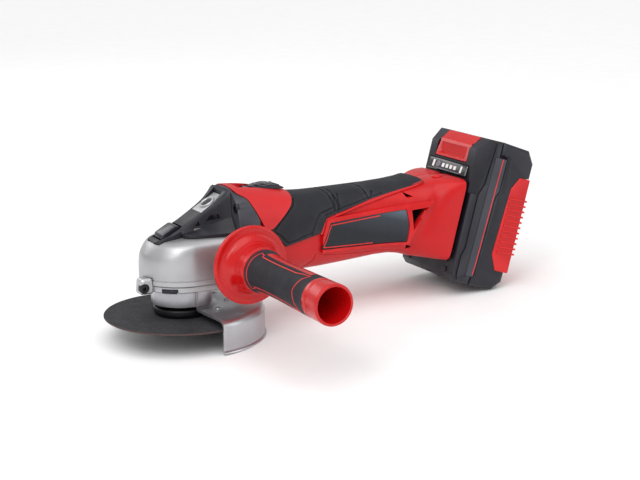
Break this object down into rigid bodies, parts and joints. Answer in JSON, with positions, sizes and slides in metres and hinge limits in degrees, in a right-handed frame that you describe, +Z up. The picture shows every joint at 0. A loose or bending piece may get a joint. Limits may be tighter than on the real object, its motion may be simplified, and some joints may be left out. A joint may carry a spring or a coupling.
{
  "type": "angle grinder",
  "caption": "Cordless angle grinder with cast gear head, guarded abrasive disc, screw-in side handle, slide switch on a soft grip and slide-on battery at the tail.",
  "frame": {"origin": "centre of the spindle's lower end face", "axes": "+Z runs up along the spindle, +X runs back along the motor and grip to the battery, -Y is the side on which the side handle is fitted"},
  "size_m": [0.3489, 0.2364, 0.1313],
  "materials": {
    "red_plastic": "satin moulded",
    "charcoal_plastic": "fine-textured moulded",
    "label_plastic": "smooth printed panel",
    "soft_rubber": "fine-textured soft overmould",
    "cast_aluminium": "satin silver, cast",
    "steel": "machined",
    "guard_steel": "satin zinc-plated sheet",
    "dark_steel": "black oxide",
    "abrasive": "resin-bonded grit",
    "copper": "wound copper and laminations",
    "magnet": "sintered",
    "circuit_board": "lacquered",
    "cell_sleeve": "shrink sleeve",
    "white_plastic": "smooth"
  },
  "bodies": {
    "tool": {"gear_case": "cast_aluminium", "bearing_cap": "cast_aluminium", "spindle_bearing": "steel", "spindle_top_bush": "steel", "spindle_lock_spring": "steel", "motor_front_bearing": "steel", "motor_rear_bearing": "steel", "motor_can": "steel", "cap_screw_1": "dark_steel", "cap_screw_2": "dark_steel", "cap_screw_3": "dark_steel", "flange_screw_right": "dark_steel", "flange_screw_left": "dark_steel", "lug_screw": "dark_steel", "head_cover": "charcoal_plastic", "motor_flange": "charcoal_plastic", "brush_holder": "charcoal_plastic", "rear_bearing_seat": "charcoal_plastic", "switch_module": "charcoal_plastic", "battery_rail": "charcoal_plastic", "terminal_block": "charcoal_plastic", "label_panel_left": "label_plastic", "label_panel_right": "label_plastic", "housing_left": "red_plastic", "housing_right": "red_plastic", "bonnet": "red_plastic", "grip_overmould": "soft_rubber", "magnet_left": "magnet", "magnet_right": "magnet", "carbon_brush_left": "magnet", "carbon_brush_right": "magnet", "control_board": "circuit_board"},
    "spindle": {"spindle": "steel", "crown_gear": "steel", "inner_flange": "dark_steel", "grinding_disc": "abrasive", "disc_nut": "dark_steel"},
    "rotor": {"motor_shaft": "steel", "pinion_gear": "steel", "armature": "copper", "commutator": "copper", "cooling_fan": "charcoal_plastic"},
    "guard": {"guard": "guard_steel"},
    "guard_lever": {"guard_lever": "charcoal_plastic"},
    "spindle_lock": {"spindle_lock_button": "charcoal_plastic", "spindle_lock_pin": "steel"},
    "switch": {"slide_switch": "charcoal_plastic", "switch_link": "charcoal_plastic"},
    "battery": {"battery_front_shell": "charcoal_plastic", "battery_rear_shell": "charcoal_plastic", "battery_grip_pad": "red_plastic", "charge_gauge": "charcoal_plastic", "cell_pack": "cell_sleeve", "battery_board": "circuit_board"},
    "latch": {"battery_latch": "red_plastic"},
    "gauge_button": {"gauge_button": "white_plastic"},
    "handle": {"side_handle": "red_plastic", "side_handle_grip": "soft_rubber", "side_handle_stud": "steel"}
  },
  "joints": [
    {"name": "spindle_spin", "type": "hinge", "parent": "tool", "child": "spindle", "pos_m": [0, 0, 0], "axis": [0, 0, 1], "continuous": true},
    {"name": "motor_spin", "type": "hinge", "parent": "tool", "child": "rotor", "pos_m": [0, 0, 0.0605], "axis": [1, 0, 0], "continuous": true},
    {"name": "guard_turn", "type": "hinge", "parent": "tool", "child": "guard", "pos_m": [0, 0, 0.018], "axis": [0, 0, 1], "range_deg": [-95, 95]},
    {"name": "guard_lever_press", "type": "slide", "parent": "tool", "child": "guard_lever", "axis": [0.6428, 0.766, 0], "range_m": [0, 0.002], "stiffness_N_per_m": 800, "springref_m": -0.002},
    {"name": "spindle_lock_press", "type": "slide", "parent": "tool", "child": "spindle_lock", "axis": [0, 0, -1], "range_m": [0, 0.003], "stiffness_N_per_m": 900, "springref_m": -0.002, "deforming": ["spindle_lock_spring"]},
    {"name": "switch_slide", "type": "slide", "parent": "tool", "child": "switch", "axis": [-1, 0, 0], "range_m": [0, 0.007]},
    {"name": "battery_slide", "type": "slide", "parent": "tool", "child": "battery", "axis": [0.2588, 0, 0.9659], "range_m": [0, 0.07]},
    {"name": "latch_press", "type": "slide", "parent": "battery", "child": "latch", "axis": [0.9659, 0, -0.2588], "range_m": [0, 0.0025], "stiffness_N_per_m": 900, "springref_m": -0.002},
    {"name": "gauge_button_press", "type": "slide", "parent": "battery", "child": "gauge_button", "axis": [0.9659, 0, -0.2588], "range_m": [0, 0.0008], "stiffness_N_per_m": 400, "springref_m": -0.001},
    {"name": "handle_unscrew", "type": "slide", "parent": "tool", "child": "handle", "axis": [0, -1, 0], "range_m": [0, 0.014]}
  ],
  "couplings": [
    {"joint": "motor_spin", "follows": "spindle_spin", "ratio": 3}
  ]
}
